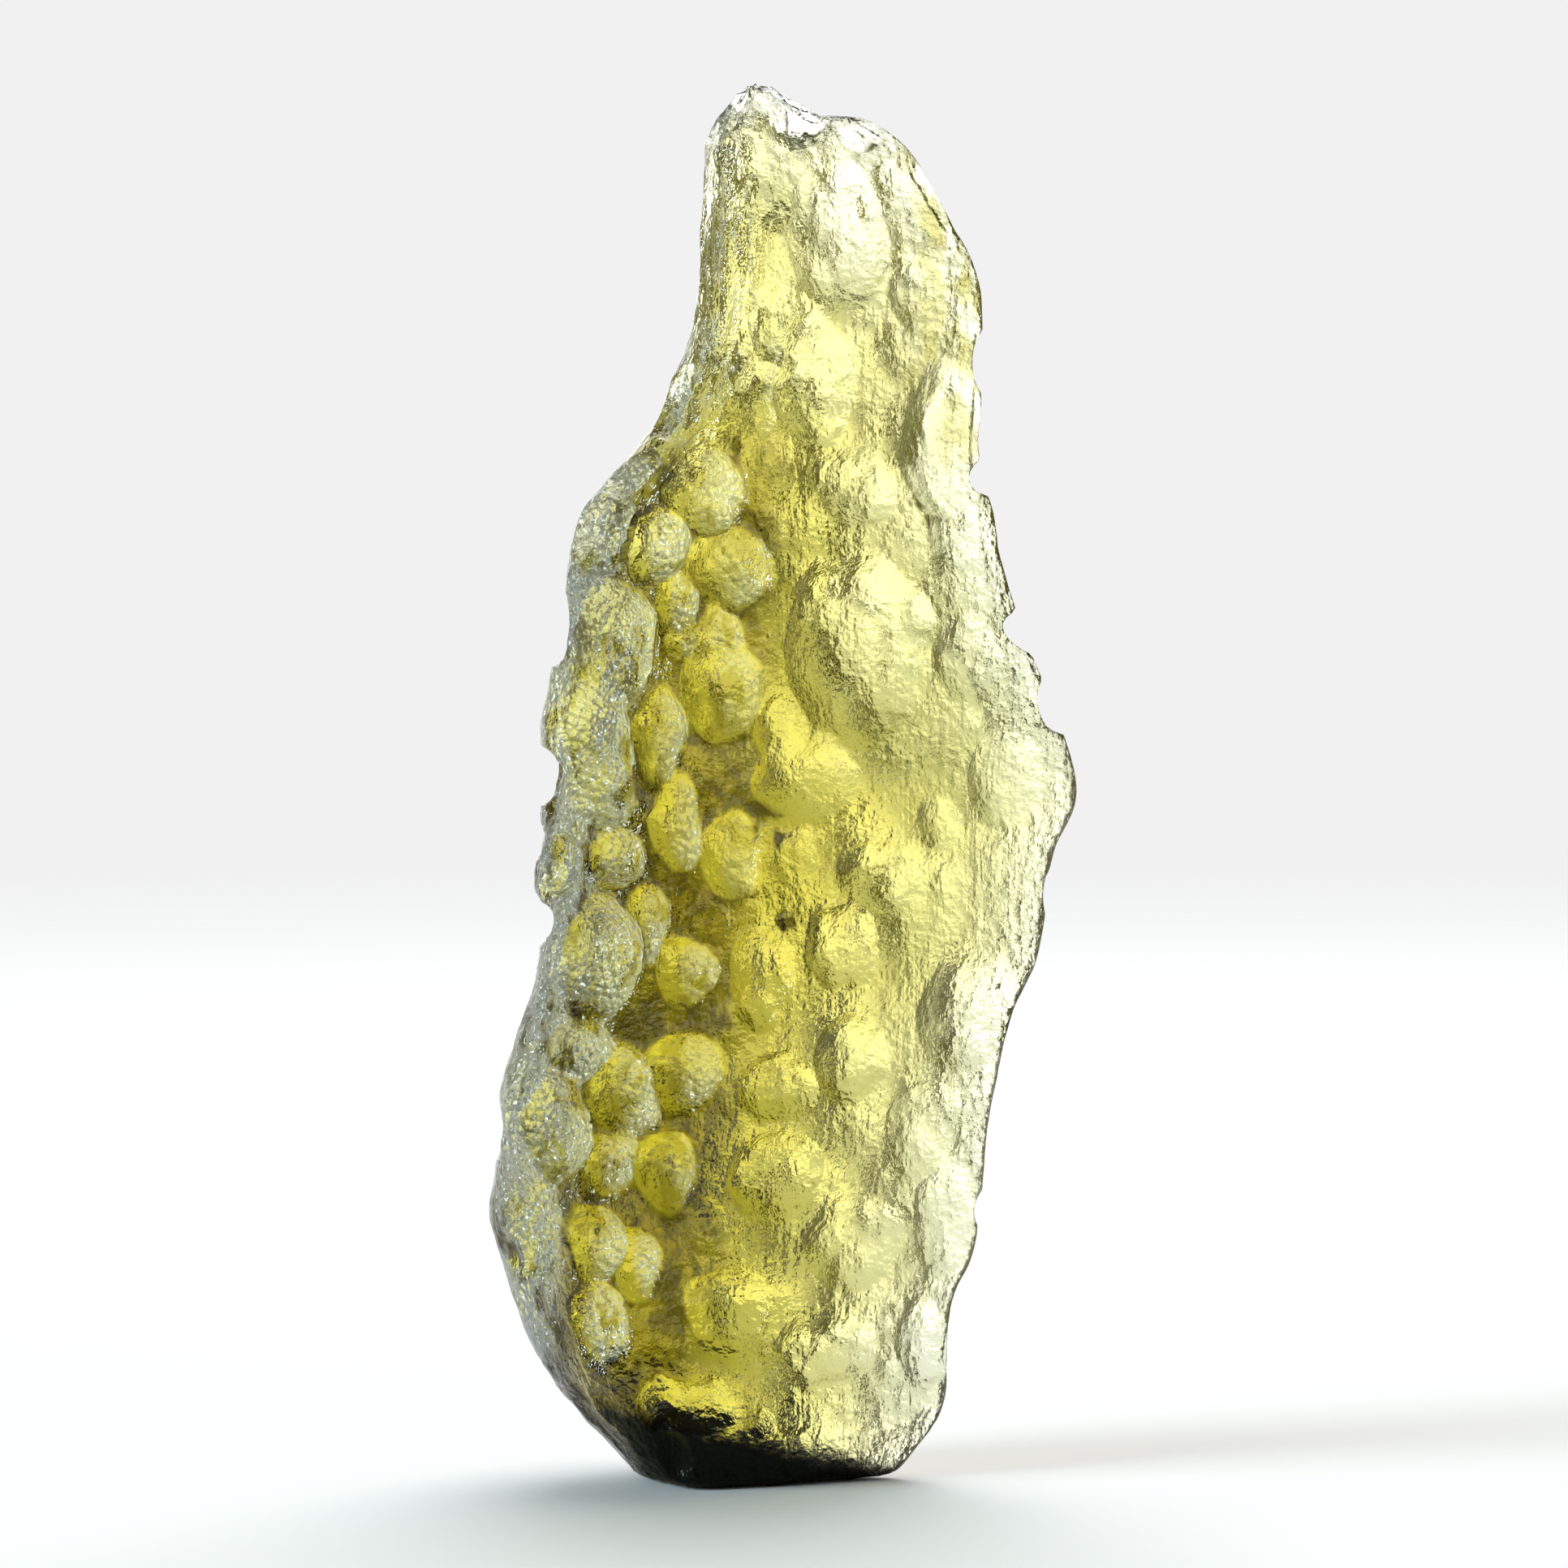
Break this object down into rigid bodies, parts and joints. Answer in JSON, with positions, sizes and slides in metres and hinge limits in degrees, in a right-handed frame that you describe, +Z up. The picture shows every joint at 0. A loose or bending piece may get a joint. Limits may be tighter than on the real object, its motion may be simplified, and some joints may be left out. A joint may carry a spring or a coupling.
{
  "type": "moldavite",
  "caption": "Upright shard of olive-green natural glass, etched all over with round overlapping pits, thin and scalloped at both edges, standing on a small flat foot.",
  "frame": {"origin": "middle of the small flat foot that the stone stands on", "axes": "+Z up along the stone's length, -Y the broad front that the picture shows, +X to the right of that front"},
  "size_m": [0.0184, 0.0088, 0.0429],
  "materials": {
    "tektite_glass": "clear olive-green natural glass, glossy, finely etched with flow lines and pits"
  },
  "bodies": {
    "root": {"moldavite": "tektite_glass"}
  },
  "joints": []
}
